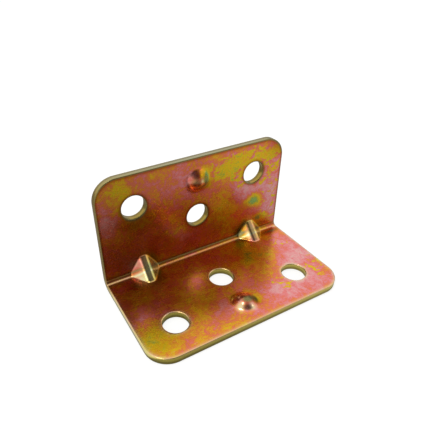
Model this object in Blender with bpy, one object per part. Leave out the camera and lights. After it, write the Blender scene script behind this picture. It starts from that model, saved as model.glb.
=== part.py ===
"""Corner brace of pressed steel sheet, modelled in Blender.

One piece of sheet is sheared with rounded free corners, pierced with three screw holes in each
half, and folded to a right angle. Two darts are pressed into the fold: on the inside each stands
up as a slanting crest between the flanges, and on the outside it leaves a notch of the same form.
A round dimple is pressed up near the free edge of each flange.

The brace lies on its lower flange. X runs along the fold, the upright flange is at the back (+Y),
and the origin is the middle of the footprint, on the underside. All lengths are in metres.
"""

import math

import bmesh
import bpy
from mathutils import Matrix, Vector

# Sheet and flanges
FOLD_LENGTH = 0.0445
FLANGE_DEPTH = 0.0254
SHEET = 0.0015
BEND_RADIUS = 0.0010
CORNER_RADIUS = 0.0048

# Screw holes, the same in both flanges
HOLE_DIAMETER = 0.0052
OUTER_HOLE_TO_END = 0.0078
OUTER_HOLE_TO_FREE_EDGE = 0.0073
MIDDLE_HOLE_TO_FREE_EDGE = 0.0138

# Darts across the fold, which are pressed a little to the right, the left one a little deeper
DART_TO_END = 0.0084
DART_OFFSET = 0.00045
DART_HALF_LENGTH = 0.0032
LEFT_DART_LEG = 0.00415
RIGHT_DART_LEG = 0.00365
DART_CREST_WIDTH = 0.0015
DART_FILLET = 0.0007
DART_CREST_ROUNDING = 0.0004
DART_TOE_ROUNDING = 0.00025

# Dimples
DIMPLE_TO_FREE_EDGE = 0.0051
DIMPLE_RADIUS = 0.0031
DIMPLE_HEIGHT = 0.0013
DIMPLE_FILLET = 0.0015

# Broken edges of the sheared and pierced sheet
EDGE_BREAK = 0.00016
EDGE_BREAK_STEPS = 2
EDGE_BREAK_ABOVE = math.radians(50)

# Fineness of the curves
BEND_STEPS = 4
CORNER_STEPS = 8
DART_STEPS = 4
HOLE_SIDES = 40
DIMPLE_SIDES = 32
DIMPLE_STEPS = 4

# A cutter reaches this far past the face that it cuts
CUTTER_REACH = 0.001
# A dimple's fillet runs this far below the face, so that the two cross
FILLET_SINK = 0.00003
# Points closer than this are one point
MERGE_DISTANCE = 0.000001

EIGHTH_TURN = math.pi / 4
# Share of a bend's radius that its corner is cut back by, measured along each flange
BEND_LEG_SHARE = 2 - math.sqrt(2)

ZINC_COLOUR = (0.58, 0.36, 0.10, 1.0)
ZINC_ROUGHNESS = 0.32


def clear_scene():
    """Remove every object that the file opened with."""
    for item in list(bpy.data.objects):
        bpy.data.objects.remove(item, do_unlink=True)


def yellow_zinc():
    """Return the material of the yellow passivated zinc plating."""
    material = bpy.data.materials.new("yellow_zinc")
    material.use_nodes = True
    shader = material.node_tree.nodes["Principled BSDF"]
    shader.inputs["Base Color"].default_value = ZINC_COLOUR
    shader.inputs["Metallic"].default_value = 1.0
    shader.inputs["Roughness"].default_value = ZINC_ROUGHNESS
    return material


def object_from(bm, name):
    """Turn a bmesh into a smooth shaded object of the scene."""
    bmesh.ops.recalc_face_normals(bm, faces=bm.faces)
    mesh = bpy.data.meshes.new(name)
    bm.to_mesh(mesh)
    bm.free()
    mesh.shade_smooth()
    mesh.set_sharp_from_angle(angle=EDGE_BREAK_ABOVE)
    item = bpy.data.objects.new(name, mesh)
    bpy.context.scene.collection.objects.link(item)
    return item


def eased_past(distance, rounding):
    """Return the distance past a point, or 0 before it, with a parabola round the point."""
    turned = min(max(distance + rounding, 0.0), 2 * rounding)
    return turned**2 / (4 * rounding) + max(distance - rounding, 0.0)


def dart_rise(x):
    """Return how far a dart has risen at x, from 0 on the plain fold to 1 on its crest.

    The flank is a straight ramp from the dart's toe to the crest's edge, rounded at both.
    """
    from_crest = abs(abs(x - DART_OFFSET) - (FOLD_LENGTH / 2 - DART_TO_END))
    past_toe = eased_past(DART_HALF_LENGTH - from_crest, DART_TOE_ROUNDING)
    past_edge = eased_past(DART_CREST_WIDTH / 2 - from_crest, DART_CREST_ROUNDING)
    return (past_toe - past_edge) / (DART_HALF_LENGTH - DART_CREST_WIDTH / 2)


def free_edge(x):
    """Return the distance of the free edge from the outer corner at x, round corners included."""
    into_corner = max(abs(x) - (FOLD_LENGTH / 2 - CORNER_RADIUS), 0.0)
    fallen = CORNER_RADIUS - math.sqrt(max(CORNER_RADIUS**2 - into_corner**2, 0.0))
    return FLANGE_DEPTH - fallen


def fold_path(face, radius, leg):
    """Return the points of one skin round the fold, from the lower flange to the upright one.

    Each point is a pair: the distance from the back of the brace, and the height above its
    underside. The skin leaves one flange by an eighth of a turn, runs straight across the corner
    and joins the other flange by the same arc. Where the leg is shortest the straight run is
    gone, and the two arcs are the plain bend.

    face is the skin's distance from the outer faces, radius that of the arcs, and leg the
    distance that the slanting run cuts off along each flange.
    """
    centre = (face + leg + radius * math.tan(EIGHTH_TURN / 2), face + radius)
    lower = []
    for step in range(BEND_STEPS + 1):
        angle = -math.pi / 2 - EIGHTH_TURN * step / BEND_STEPS
        lower.append((centre[0] + radius * math.cos(angle), centre[1] + radius * math.sin(angle)))
    upper = [(height, distance) for distance, height in reversed(lower)]
    return lower + upper


def section(x):
    """Return the closed outline of the sheet in the plane at x, both skins with their ends."""
    rise = dart_rise(x)
    plain_leg = BEND_RADIUS * BEND_LEG_SHARE
    dart_leg = LEFT_DART_LEG if x < 0.0 else RIGHT_DART_LEG
    leg = plain_leg + (dart_leg - plain_leg) * rise
    radius = BEND_RADIUS + (DART_FILLET - BEND_RADIUS) * rise
    inner = fold_path(SHEET, radius, leg)
    outer = fold_path(0.0, radius + SHEET, leg + SHEET * BEND_LEG_SHARE)
    end = free_edge(x)
    inner_skin = [(end, SHEET)] + inner + [(SHEET, end)]
    outer_skin = [(0.0, end)] + outer[::-1] + [(end, 0.0)]
    return inner_skin + outer_skin


def stations():
    """Return the places along the fold where the section changes, from left to right."""
    half = FOLD_LENGTH / 2
    places = []
    for step in range(CORNER_STEPS + 1):
        turn = math.pi / 2 * step / CORNER_STEPS
        from_middle = half - CORNER_RADIUS * (1 - math.sin(turn))
        places += [-from_middle, from_middle]
    turns = ((DART_CREST_WIDTH / 2, DART_CREST_ROUNDING), (DART_HALF_LENGTH, DART_TOE_ROUNDING))
    for turn_of_ramp, rounding in turns:
        for step in range(DART_STEPS + 1):
            from_crest = turn_of_ramp + rounding * (2 * step / DART_STEPS - 1)
            for crest in (DART_OFFSET + DART_TO_END - half, DART_OFFSET + half - DART_TO_END):
                places += [crest - from_crest, crest + from_crest]
    places.sort()
    apart = [places[0]]
    for place in places[1:]:
        if place - apart[-1] > MERGE_DISTANCE:
            apart.append(place)
    return apart


def folded_sheet():
    """Loft the sections along the fold into the solid sheet, before it is pierced."""
    bm = bmesh.new()
    rings = []
    for x in stations():
        points = [(x, FLANGE_DEPTH / 2 - distance, height) for distance, height in section(x)]
        rings.append([bm.verts.new(point) for point in points])
    for ring, following in zip(rings, rings[1:]):
        for index, vertex in enumerate(ring):
            before = index - 1
            bm.faces.new((ring[before], vertex, following[index], following[before]))
    bm.faces.new(rings[0])
    bm.faces.new(rings[-1])
    bmesh.ops.remove_doubles(bm, verts=bm.verts, dist=MERGE_DISTANCE)
    bmesh.ops.dissolve_limit(bm, angle_limit=math.radians(0.05), verts=bm.verts, edges=bm.edges)
    return object_from(bm, "corner_brace")


def flange_places(x, to_free_edge):
    """Return where a round feature stands on each flange, its axis rising from the inner face."""
    distance = FLANGE_DEPTH - to_free_edge
    lower = Matrix.Translation((x, FLANGE_DEPTH / 2 - distance, 0.0))
    upright = Matrix.Translation((x, FLANGE_DEPTH / 2, distance)) @ Matrix.Rotation(math.pi / 2, 4, "X")
    return [lower, upright]


def hole_places():
    """Return the places of the six screw holes."""
    outer_x = FOLD_LENGTH / 2 - OUTER_HOLE_TO_END
    places = flange_places(0.0, MIDDLE_HOLE_TO_FREE_EDGE)
    for x in (-outer_x, outer_x):
        places += flange_places(x, OUTER_HOLE_TO_FREE_EDGE)
    return places


def hole_punches():
    """Return one cutter that holds a punch for each screw hole."""
    bm = bmesh.new()
    for place in hole_places():
        bmesh.ops.create_cone(
            bm,
            cap_ends=True,
            segments=HOLE_SIDES,
            radius1=HOLE_DIAMETER / 2,
            radius2=HOLE_DIAMETER / 2,
            depth=SHEET + 2 * CUTTER_REACH,
            matrix=place @ Matrix.Translation((0.0, 0.0, SHEET / 2)),
        )
    return object_from(bm, "hole_punches")


def dimple_profile(face, dome_radius, fillet_radius):
    """Return the turned outline of a dimple's skin, from its top to the rim of its fillet.

    Each point is a pair: the distance from the axis and the height above the underside. A dome
    centred on the axis passes into a fillet of the opposite bend, which comes down to the face
    at the dimple's full radius.
    """
    centres_apart = dome_radius + fillet_radius
    turn = math.asin(DIMPLE_RADIUS / centres_apart)
    dome_centre = face + DIMPLE_HEIGHT - dome_radius
    fillet_centre = face + fillet_radius - FILLET_SINK
    points = []
    for step in range(DIMPLE_STEPS + 1):
        angle = turn * step / DIMPLE_STEPS
        points.append((dome_radius * math.sin(angle), dome_centre + dome_radius * math.cos(angle)))
    for step in range(1, DIMPLE_STEPS + 1):
        angle = turn * (1 - step / DIMPLE_STEPS)
        across = DIMPLE_RADIUS - fillet_radius * math.sin(angle)
        points.append((across, fillet_centre - fillet_radius * math.cos(angle)))
    return points


def turned_at(places, profile, foot, name):
    """Turn a profile round its own axis, close it at the foot, and put a copy at each place."""
    outline = profile + [(profile[-1][0], foot), (0.0, foot)]
    bm = bmesh.new()
    for place in places:
        chain = [bm.verts.new(place @ Vector((across, 0.0, height))) for across, height in outline]
        edges = [bm.edges.new(pair) for pair in zip(chain, chain[1:])]
        bmesh.ops.spin(
            bm,
            geom=chain + edges,
            cent=place.to_translation(),
            axis=place.to_3x3().col[2],
            angle=2 * math.pi,
            steps=DIMPLE_SIDES,
            use_merge=True,
        )
    bmesh.ops.remove_doubles(bm, verts=bm.verts, dist=MERGE_DISTANCE)
    return object_from(bm, name)


def combine(item, tool, operation):
    """Let a hidden tool object cut the item or join it."""
    tool.hide_render = True
    tool.display_type = "WIRE"
    boolean = item.modifiers.new(tool.name, "BOOLEAN")
    boolean.operation = operation
    boolean.solver = "EXACT"
    boolean.object = tool


def break_edges(item):
    """Round the sharp edges that shearing and piercing leave."""
    bevel = item.modifiers.new("broken_edges", "BEVEL")
    bevel.limit_method = "ANGLE"
    bevel.angle_limit = EDGE_BREAK_ABOVE
    bevel.width = EDGE_BREAK
    bevel.segments = EDGE_BREAK_STEPS
    bevel.use_clamp_overlap = False
    bevel.harden_normals = True
    flat_shading = item.modifiers.new("flat_faces_shade_flat", "WEIGHTED_NORMAL")
    flat_shading.keep_sharp = True


def main():
    """Build the brace."""
    clear_scene()
    brace = folded_sheet()
    brace.data.materials.append(yellow_zinc())

    dimples = flange_places(0.0, DIMPLE_TO_FREE_EDGE)
    centres_apart = (DIMPLE_RADIUS**2 + DIMPLE_HEIGHT**2) / (2 * DIMPLE_HEIGHT)
    dome_radius = centres_apart - DIMPLE_FILLET
    raised = dimple_profile(SHEET, dome_radius, DIMPLE_FILLET)
    hollow = dimple_profile(0.0, dome_radius - SHEET, DIMPLE_FILLET + SHEET)

    combine(brace, hole_punches(), "DIFFERENCE")
    combine(brace, turned_at(dimples, raised, SHEET / 2, "dimple_domes"), "UNION")
    combine(brace, turned_at(dimples, hollow, -CUTTER_REACH, "dimple_hollows"), "DIFFERENCE")
    break_edges(brace)


if __name__ == "__main__":
    main()
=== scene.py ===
"""Looks of the corner brace: one folded steel sheet in yellow passivated zinc on a pale floor.

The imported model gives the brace's size and place. A finer mesh of the same form stands for its
solid: the flat blank is ruled as a grid that closes round the screw holes and the dimples, and one
pressing formula carries both skins of that grid, and the sheared edges between them, into the
folded shape. Lengths are in metres, and places on the blank are an x along the fold and an s
across it: s is 0 in the fold, negative on the lower flange and positive on the upright one.
"""

import logging
import math
from dataclasses import dataclass
from enum import Enum
from typing import Any, Sequence

import bpy
import numpy as np
from mathutils import Euler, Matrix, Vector


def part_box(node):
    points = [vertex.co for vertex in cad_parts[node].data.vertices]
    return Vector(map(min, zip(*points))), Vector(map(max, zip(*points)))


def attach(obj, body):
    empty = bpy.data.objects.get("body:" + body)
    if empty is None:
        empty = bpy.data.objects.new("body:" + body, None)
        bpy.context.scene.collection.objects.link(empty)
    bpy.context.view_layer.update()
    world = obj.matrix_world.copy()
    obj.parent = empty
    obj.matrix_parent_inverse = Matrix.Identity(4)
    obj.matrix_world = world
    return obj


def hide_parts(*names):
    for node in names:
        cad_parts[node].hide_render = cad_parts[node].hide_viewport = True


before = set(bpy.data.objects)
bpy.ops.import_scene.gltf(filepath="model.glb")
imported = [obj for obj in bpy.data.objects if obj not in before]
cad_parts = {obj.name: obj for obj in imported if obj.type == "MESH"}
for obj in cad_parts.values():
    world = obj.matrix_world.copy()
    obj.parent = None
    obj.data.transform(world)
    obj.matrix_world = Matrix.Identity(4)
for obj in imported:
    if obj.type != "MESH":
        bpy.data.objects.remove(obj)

MM = 0.001
CAD_NODE = "corner_brace"
CAD_BODY = "root"
EIGHTH_TURN = math.pi / 4
# Share of a bend's radius that its corner is cut back by, measured along each flange
BEND_LEG_SHARE = 2 - math.sqrt(2)
# Keeps a division by a distance sound where the distance is 0
NEAR_ZERO = 1e-9

Array = np.ndarray
Colour = tuple[float, float, float, float]

log = logging.getLogger("corner_brace_looks")


class Slot(Enum):
    """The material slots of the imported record."""

    YELLOW_ZINC = "yellow_zinc"


class Mark(Enum):
    """The numbers that each point of the brace's mesh carries for its finish."""

    FILM = "film"
    FLAKES = "flakes"
    # Stains and painted shade: darker where the metal mirrors the dark side of the room or the other
    # flange
    STAIN = "stain"
    # Wear and painted highlights: pale bare zinc, also laid where bright reflections are painted along
    # the fold and on the dimples
    WORN = "worn"
    PALE = "pale"
    WALL = "wall"
    TORN = "torn"


@dataclass(frozen=True)
class BraceSizes:
    """The sizes that drive the brace, the same as in its CAD source."""

    fold_length: float
    flange_depth: float
    sheet: float = 1.5 * MM
    bend_radius: float = 1.0 * MM
    corner_radius: float = 4.8 * MM
    hole_radius: float = 2.6 * MM
    outer_hole_to_end: float = 7.8 * MM
    outer_hole_to_free_edge: float = 7.3 * MM
    middle_hole_to_free_edge: float = 13.8 * MM
    dart_to_end: float = 8.4 * MM
    dart_offset: float = 0.45 * MM
    dart_half_length: float = 3.2 * MM
    left_dart_leg: float = 4.15 * MM
    right_dart_leg: float = 3.65 * MM
    dart_crest_width: float = 1.5 * MM
    dart_fillet: float = 0.7 * MM
    dart_crest_rounding: float = 0.4 * MM
    dart_toe_rounding: float = 0.25 * MM
    dimple_to_free_edge: float = 5.1 * MM
    dimple_radius: float = 3.1 * MM
    dimple_height: float = 1.3 * MM
    dimple_fillet: float = 1.5 * MM

    @property
    def half_length(self) -> float:
        """Return the distance from the middle of the fold to each end."""
        return self.fold_length / 2

    @property
    def dart_x(self) -> float:
        """Return the distance of each dart's crest from the point midway between them."""
        return self.half_length - self.dart_to_end

    @property
    def outer_hole_x(self) -> float:
        """Return the distance of the outer holes from the middle."""
        return self.half_length - self.outer_hole_to_end

    @property
    def outer_hole_s(self) -> float:
        """Return the distance of the outer holes from the outer corner."""
        return self.flange_depth - self.outer_hole_to_free_edge

    @property
    def middle_hole_s(self) -> float:
        """Return the distance of the middle holes from the outer corner."""
        return self.flange_depth - self.middle_hole_to_free_edge

    @property
    def dimple_s(self) -> float:
        """Return the distance of the dimples from the outer corner."""
        return self.flange_depth - self.dimple_to_free_edge

    @property
    def dome_radius(self) -> float:
        """Return the radius of a dimple's dome, which meets its fillet smoothly."""
        centres_apart = (self.dimple_radius**2 + self.dimple_height**2) / (2 * self.dimple_height)
        return centres_apart - self.dimple_fillet


def eased_past(distance: Array, rounding: float) -> Array:
    """Return the distance past a point, or 0 before it, with a parabola round the point."""
    turned = np.clip(distance + rounding, 0, 2 * rounding)
    return turned**2 / (4 * rounding) + np.maximum(distance - rounding, 0)


@dataclass(frozen=True)
class Pressing:
    """Carries a place on the flat blank to its place on the pressed brace.

    Attributes:
        sizes: The brace's sizes.
        fold_zone: Reach of the fold on each flange from the outer corner, darts included.
        unevenness: How far the rolled sheet swells out of its true plane, at most.
        waves: Its waves: the radians per metre along and across the fold, and the start.
    """

    sizes: BraceSizes
    fold_zone: float = 6.5 * MM
    unevenness: float = 0.03 * MM
    waves: tuple[tuple[float, float, float], ...] = (
        (210.0, 95.0, 0.4),
        (-130.0, 260.0, 1.9),
        (330.0, -170.0, 4.1),
        (60.0, 390.0, 2.6),
    )

    def dart_rise(self, x: Array) -> Array:
        """Work out how far a dart has risen, from 0 on the plain fold to 1 on its crest.

        The flank is a straight ramp from the dart's toe to the crest's edge: the distance past
        the toe less the distance past the edge, over their difference on the crest. Each distance
        starts as a parabola over the rounding length to either side.

        Args:
            x: Places along the fold.

        Returns:
            The rise at each place.
        """
        sizes = self.sizes
        from_crest = np.abs(np.abs(x - sizes.dart_offset) - sizes.dart_x)
        past_toe = eased_past(sizes.dart_half_length - from_crest, sizes.dart_toe_rounding)
        past_edge = eased_past(sizes.dart_crest_width / 2 - from_crest, sizes.dart_crest_rounding)
        return (past_toe - past_edge) / (sizes.dart_half_length - sizes.dart_crest_width / 2)

    def dimple(self, x: Array, s: Array) -> tuple[Array, Array, Array, Array]:
        """Work out the form of the dimples.

        Inside the tangent radius the inner skin is a dome: its height is the dimple's height less
        the dome radius, plus the square root of the dome radius squared less the distance
        squared. Outside it, the fillet: the fillet radius less the square root of its square
        less the square of what is left to the dimple's rim. The sine of the slope is the
        horizontal distance from the arc's centre over the arc's radius.

        Args:
            x: Places along the fold.
            s: Places across the fold.

        Returns:
            The height of the inner skin, the sine of its slope, and the two parts of the
            direction away from the axis, along x and away from the fold.
        """
        sizes = self.sizes
        across = np.abs(s) - sizes.dimple_s
        away = np.maximum(np.hypot(x, across), NEAR_ZERO)
        dome, fillet = sizes.dome_radius, sizes.dimple_fillet
        tangent = sizes.dimple_radius * dome / (dome + fillet)
        left = np.clip(sizes.dimple_radius - away, 0, fillet)
        on_dome = np.minimum(away, tangent)
        dome_height = sizes.dimple_height - dome + np.sqrt(dome**2 - on_dome**2)
        fillet_height = fillet - np.sqrt(fillet**2 - left**2)
        height = np.where(away < tangent, dome_height, fillet_height)
        slope = np.where(away < tangent, on_dome / dome, left / fillet)
        return height, slope, x / away, across / away

    def swell(self, x: Array, s: Array) -> Array:
        """Return the slight unevenness of the rolled sheet, as a mean of slow cosine waves."""
        total = sum(1 + np.cos(along * x + across * s + start) for along, across, start in self.waves)
        return self.unevenness * total / (2 * len(self.waves))

    def carry(self, x: Array, s: Array, depth: Array | float) -> Array:
        """Carry places on the blank to places in space.

        The section at x is walked by arc length: flat, an eighth of a turn, a straight run
        across the corner, an eighth of a turn, flat. The heading's sine and cosine give both the
        way along the inner skin and the way through the sheet. Across the fold zone s runs
        evenly along that walk, and beyond it s is the true distance from the outer corner.

        Args:
            x: Places along the fold.
            s: Places across the fold.
            depth: Distance below the inner skin, up to the sheet's thickness.

        Returns:
            Points in space, with the last axis x, y, z.
        """
        sizes = self.sizes
        height, slope, away_x, away_s = self.dimple(x, s)
        lift = height + depth * (1 - np.sqrt(1 - slope**2)) + self.swell(x, s)
        s = s - np.sign(s) * depth * slope * away_s
        x = x - depth * slope * away_x

        rise = self.dart_rise(x)
        plain_leg = sizes.bend_radius * BEND_LEG_SHARE
        dart_leg = np.where(x < 0, sizes.left_dart_leg, sizes.right_dart_leg)
        leg = plain_leg + (dart_leg - plain_leg) * rise
        radius = sizes.bend_radius + (sizes.dart_fillet - sizes.bend_radius) * rise
        tangent = radius * math.tan(EIGHTH_TURN / 2)
        flat = self.fold_zone - sizes.sheet - leg - tangent
        arc = radius * EIGHTH_TURN
        run = leg * math.sqrt(2) - 2 * tangent
        total = 2 * flat + 2 * arc + run

        share = (np.clip(s / self.fold_zone, -1, 1) + 1) / 2
        beyond = s - np.clip(s, -self.fold_zone, self.fold_zone)
        walked = share * total + beyond
        first_flat = np.minimum(walked, flat)
        first_turn = np.clip((walked - flat) / radius, 0, EIGHTH_TURN)
        slant = np.clip(walked - flat - arc, 0, run) / math.sqrt(2)
        second_turn = EIGHTH_TURN + np.clip((walked - flat - arc - run) / radius, 0, EIGHTH_TURN)
        last_flat = np.maximum(walked - flat - 2 * arc - run, 0)
        eighth_sine = math.sqrt(0.5)
        distance = (self.fold_zone - first_flat - radius * np.sin(first_turn) - slant
                    - radius * (np.sin(second_turn) - eighth_sine))
        level = (sizes.sheet + radius * (1 - np.cos(first_turn)) + slant
                 + radius * (eighth_sine - np.cos(second_turn)) + last_flat)
        heading = first_turn + second_turn - EIGHTH_TURN
        distance = distance + np.sin(heading) * (lift - depth)
        level = level + np.cos(heading) * (lift - depth)
        return np.stack([x, sizes.flange_depth / 2 - distance, level], axis=-1)


def ladder(start: float, *flights: tuple[float, int]) -> Array:
    """Return levels that climb evenly through each flight.

    Args:
        start: The first level.
        flights: The level that each flight ends on, and its number of steps.

    Returns:
        All the levels, the first one included.
    """
    levels = [np.array([start])]
    for end, steps in flights:
        levels.append(np.linspace(levels[-1][-1], end, steps + 1)[1:])
    return np.concatenate(levels)


def mirrored(levels: Array) -> Array:
    """Return levels that climb from 0 with their mirror image below 0."""
    return np.concatenate([-levels[:0:-1], levels])


def unit(along: Array, across: Array) -> tuple[Array, Array]:
    """Return directions on the blank, scaled to a length of 1."""
    length = np.hypot(along, across)
    return along / length, across / length


@dataclass
class Blank:
    """The flat blank, ruled as one grid that closes round each hole and dimple.

    Attributes:
        sizes: The brace's sizes.
        fold_zone: Reach of the fold on each flange from the outer corner.
        roll: Width of the rolled edge, which lies outside the grid.
        hole_block: Half the width of the block of grid round a hole.
        hole_levels: Half the width of the levels that the hole itself takes up in it.
        dimple_block: Half the width of the block of grid round a dimple.
        hole_steps: Cells from a hole's middle to its rim.
        margin_steps: Cells from the rim to the block's edge.
        dome_steps: Rings of cells on a dimple's dome.
        fillet_steps: Rings of cells on its fillet.
        corner_steps: Columns in each rounded corner.
        fold_steps: Rows across the fold.
        plain_fold_steps: Columns from the middle of the fold to a dart.
        toe_steps: Columns on the rounding at a dart's toe.
        flank_steps: Columns on a dart's flank.
        crest_edge_steps: Columns on the rounding at an edge of its crest.
        crest_steps: Columns on the flat of its crest.
        gap_steps: Rows from the fold to the middle hole's block, and from there to the dimple's.
        dimple_to_end_steps: Rows from the dimple's block to the free edge.
        hole_to_end_steps: Rows from an outer hole's block to the free edge.
    """

    sizes: BraceSizes
    fold_zone: float
    roll: float
    hole_block: float = 3.0 * MM
    hole_levels: float = 2.3 * MM
    dimple_block: float = 3.6 * MM
    hole_steps: int = 10
    margin_steps: int = 3
    dome_steps: int = 8
    fillet_steps: int = 5
    corner_steps: int = 15
    fold_steps: int = 72
    plain_fold_steps: int = 22
    toe_steps: int = 5
    flank_steps: int = 8
    crest_edge_steps: int = 7
    crest_steps: int = 3
    gap_steps: int = 6
    dimple_to_end_steps: int = 5
    hole_to_end_steps: int = 16

    def __post_init__(self) -> None:
        """Rule the grid, then bend it round the holes and dimples."""
        self._rule()
        self._mark_round_places()

    def _block(self, centre: float) -> list[tuple[float, int]]:
        """Return the flights of levels across a hole's block.

        Args:
            centre: The level of the hole's middle.

        Returns:
            The flights, each with the level that it ends on and its number of steps.
        """
        return [
            (centre - self.hole_levels, self.margin_steps),
            (centre + self.hole_levels, 2 * self.hole_steps),
            (centre + self.hole_block, self.margin_steps),
        ]

    def _columns(self) -> tuple[Array, Array]:
        """Work out the grid's columns, as many on the flanges as in the fold.

        Returns:
            The columns that suit the holes, and those that suit the darts.
        """
        sizes = self.sizes
        crest, toe, dart = sizes.dart_crest_width / 2, sizes.dart_half_length, sizes.dart_x
        top, foot = sizes.dart_crest_rounding, sizes.dart_toe_rounding
        fold = ladder(
            0.0,
            (dart - toe - foot, self.plain_fold_steps),
            (dart - toe + foot, self.toe_steps),
            (dart - crest - top, self.flank_steps),
            (dart - crest + top, self.crest_edge_steps),
            (dart + crest - top, self.crest_steps),
            (dart + crest + top, self.crest_edge_steps),
            (dart + toe - foot, self.flank_steps),
            (dart + toe + foot, self.toe_steps),
        )
        in_blocks = 3 * self.hole_steps + 4 * self.margin_steps
        flange = ladder(
            0.0,
            (self.hole_levels, self.hole_steps),
            (self.hole_block, self.margin_steps),
            (self.dimple_block, self.margin_steps),
            (sizes.outer_hole_x - self.hole_block, len(fold) - 1 - in_blocks),
            *self._block(sizes.outer_hole_x),
        )
        turn = np.linspace(0, math.pi / 2, self.corner_steps + 1)[1:]
        corner = sizes.half_length - sizes.corner_radius
        ends = corner + (sizes.corner_radius - self.roll) * np.sin(turn)
        last, end, offset = fold[-1], sizes.half_length - self.roll, sizes.dart_offset
        flange, fold = (mirrored(np.concatenate([levels, ends])) for levels in (flange, fold))
        moved = [-end, offset - last, offset + last, end]
        return flange, np.interp(fold, [-end, -last, last, end], moved)

    def _rows(self) -> tuple[Array, Array]:
        """Work out one flange's rows, as many in the middle as at the outer holes.

        Returns:
            The rows that suit the middle hole and the dimple, and those that suit an outer hole.
        """
        sizes = self.sizes
        free = sizes.flange_depth - self.roll
        in_hole_block = 2 * (self.hole_steps + self.margin_steps)
        middle = ladder(
            self.fold_zone,
            (sizes.middle_hole_s - self.hole_block, self.gap_steps),
            *self._block(sizes.middle_hole_s),
            (sizes.dimple_s - self.dimple_block, self.gap_steps),
            (sizes.dimple_s + self.dimple_block, in_hole_block + 2 * self.margin_steps),
            (free, self.dimple_to_end_steps),
        )
        to_hole = len(middle) - 1 - in_hole_block - self.hole_to_end_steps
        outer = ladder(
            self.fold_zone,
            (sizes.outer_hole_s - self.hole_block, to_hole),
            *self._block(sizes.outer_hole_s),
            (free, self.hole_to_end_steps),
        )
        return middle, outer

    def _rule(self) -> None:
        """Rule the grid.

        The columns pass from those of the fold to those of the flange below the middle hole, and
        the rows from those of the middle to those of the outer hole, by a smooth step. In the
        round corners the rows close up under the arc.
        """
        sizes = self.sizes
        flange_columns, fold_columns = self._columns()
        middle_rows, outer_rows = self._rows()
        fold_rows = np.linspace(-self.fold_zone, self.fold_zone, self.fold_steps + 1)
        middle = np.concatenate([-middle_rows[:0:-1], fold_rows, middle_rows[1:]])
        outer = np.concatenate([-outer_rows[:0:-1], fold_rows, outer_rows[1:]])
        first_block = sizes.middle_hole_s - self.hole_block
        to_flange = np.clip((np.abs(middle) - self.fold_zone) / (first_block - self.fold_zone), 0, 1)
        self.x = fold_columns[:, None] + (flange_columns - fold_columns)[:, None] * to_flange
        across = sizes.outer_hole_x - self.hole_block - self.dimple_block
        to_outer = np.clip((np.abs(flange_columns) - self.dimple_block) / across, 0, 1)
        to_outer = (to_outer**2 * (3 - 2 * to_outer))[:, None]
        s = middle + (outer - middle) * to_outer
        inset = sizes.corner_radius - self.roll
        corner = np.maximum(np.abs(self.x) - (sizes.half_length - sizes.corner_radius), 0)
        fallen = inset - np.sqrt(np.maximum(inset**2 - corner**2, 0))
        beyond = np.abs(s) - self.fold_zone
        shrink = 1 - fallen / (sizes.flange_depth - self.roll - self.fold_zone)
        self.s = np.where(beyond > 0, np.sign(s) * (self.fold_zone + beyond * shrink), s)

    def _mark_round_places(self) -> None:
        """Close the grid round the holes and dimples, and mark the cells that the holes remove."""
        sizes = self.sizes
        columns, rows = self.x.shape
        self.kept = np.ones((columns - 1, rows - 1), dtype=bool)
        self.holes: list[Array] = []
        middle_column = columns // 2
        hole_half = self.hole_steps + self.margin_steps
        dimple_half = hole_half + self.margin_steps
        hole_edge = sizes.hole_radius + self.roll
        hole_reach = np.full(hole_half + 1, hole_edge)
        hole_square = np.clip((np.arange(hole_half + 1) - self.hole_steps) / self.margin_steps, 0, 1)
        tangent = sizes.dimple_radius * sizes.dome_radius / (sizes.dome_radius + sizes.dimple_fillet)
        dimple_reach = ladder(
            0.0,
            (tangent, self.dome_steps),
            (sizes.dimple_radius, self.fillet_steps),
            (sizes.dimple_radius, self.margin_steps),
        )
        rings = np.arange(dimple_half + 1)
        dimple_square = np.clip((rings - hole_half) / self.margin_steps, 0, 1)
        for side in (-1, 1):
            for x in (-sizes.outer_hole_x, 0.0, sizes.outer_hole_x):
                s = side * (sizes.outer_hole_s if x else sizes.middle_hole_s)
                at = self._nearest(x, s)
                self._close_round(at, (x, s), hole_reach, hole_square)
                self._pierce(at)
            at = (middle_column, self._nearest(0.0, side * sizes.dimple_s)[1])
            self._close_round(at, (0.0, side * sizes.dimple_s), dimple_reach, dimple_square)

    def _nearest(self, x: float, s: float) -> tuple[int, int]:
        """Return the column and row of the grid point nearest to a place."""
        distance = np.hypot(self.x - x, self.s - s)
        return tuple(int(index) for index in np.unravel_index(distance.argmin(), distance.shape))

    def _close_round(self, at: tuple[int, int], centre: tuple[float, float],
                     reach: Array, square: Array) -> None:
        """Bend a square block of the grid so that its rings of points become circles.

        On a ring, the place along the square's side turns evenly into an angle. A point is the
        circle's point at that angle, or the block's edge there, or a mean of the two.

        Args:
            at: Column and row of the block's middle.
            centre: Place of the block's middle.
            reach: Radius of each ring, from the middle outwards.
            square: Share of the block's edge in each ring, 1 on the outermost.
        """
        half = len(reach) - 1
        steps = np.arange(-half, half + 1)
        block = (slice(at[0] - half, at[0] + half + 1), slice(at[1] - half, at[1] + half + 1))
        p, q = np.meshgrid(steps, steps, indexing="ij")
        ring = np.maximum(np.abs(p), np.abs(q))
        a, b = p / np.maximum(ring, 1), q / np.maximum(ring, 1)
        on_side = np.abs(a) >= np.abs(b)
        circle_x = np.where(on_side, np.sign(a) * np.cos(EIGHTH_TURN * b), np.sin(EIGHTH_TURN * a))
        circle_s = np.where(on_side, np.sin(EIGHTH_TURN * b), np.sign(b) * np.cos(EIGHTH_TURN * a))
        edge_x = np.interp(a * half, steps, self.x[block][:, half])
        edge_s = np.interp(b * half, steps, self.s[block][half])
        round_share = reach[ring] * (1 - square[ring])
        self.x[block] = centre[0] * (1 - square[ring]) + circle_x * round_share + edge_x * square[ring]
        self.s[block] = centre[1] * (1 - square[ring]) + circle_s * round_share + edge_s * square[ring]

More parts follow.
